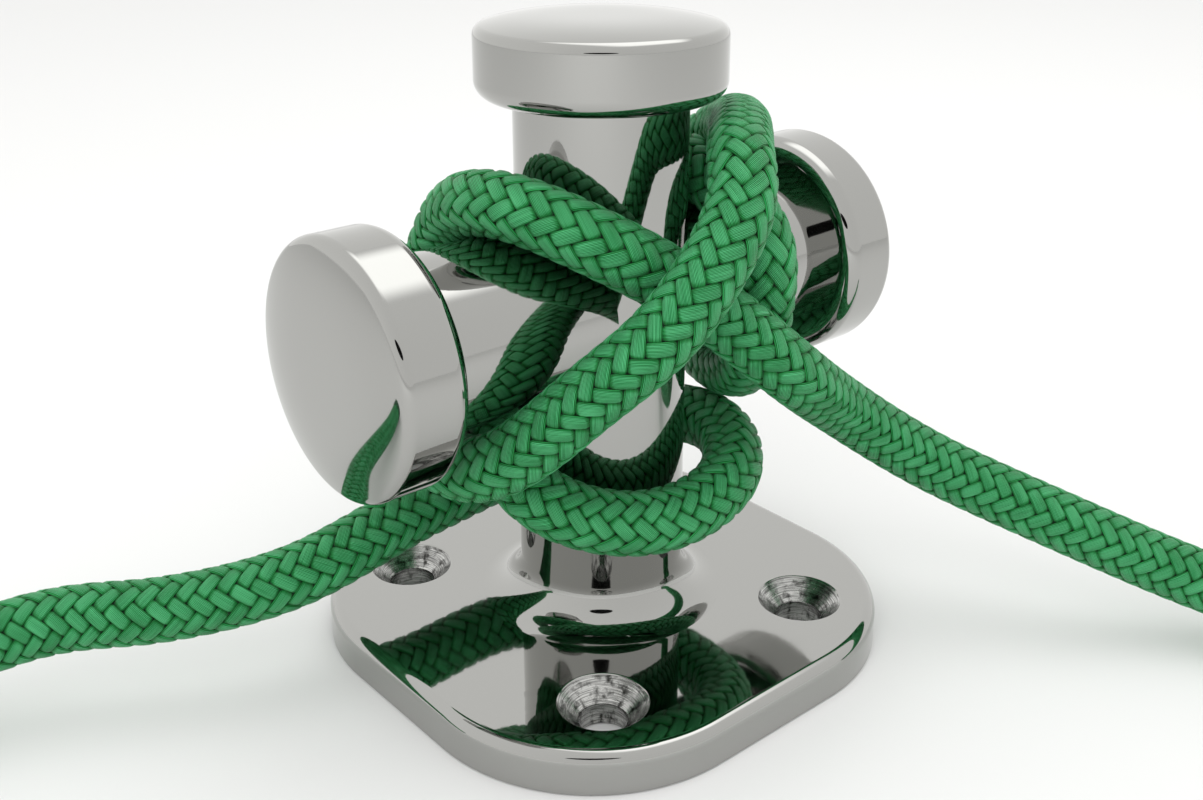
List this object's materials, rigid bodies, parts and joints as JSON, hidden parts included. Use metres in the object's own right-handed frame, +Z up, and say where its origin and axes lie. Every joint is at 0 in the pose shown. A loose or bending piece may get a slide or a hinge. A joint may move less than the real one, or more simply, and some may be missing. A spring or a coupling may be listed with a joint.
{
  "type": "cross bollard",
  "caption": "Mirror-polished cross bollard on a rounded bolt-down plate: round post, cross arm and disc end caps, with a plaited mooring rope made fast round it.",
  "frame": {"origin": "centre of the base plate's underside, on the post's axis", "axes": "+Z up along the post, +X along the cross arm towards its far end, +Y towards the back"},
  "size_m": [0.3749, 0.2231, 0.1525],
  "materials": {
    "polished_steel": "mirror-polished stainless steel",
    "green_rope": "plaited polyester, matt sheen",
    "twine": "waxed whipping twine"
  },
  "bodies": {
    "root": {"base_plate": "polished_steel", "post": "polished_steel", "near_arm": "polished_steel", "far_arm": "polished_steel", "top_cap": "polished_steel", "near_cap": "polished_steel", "far_cap": "polished_steel", "mooring_rope": "green_rope", "left_whipping": "twine", "right_whipping": "twine"}
  },
  "joints": []
}
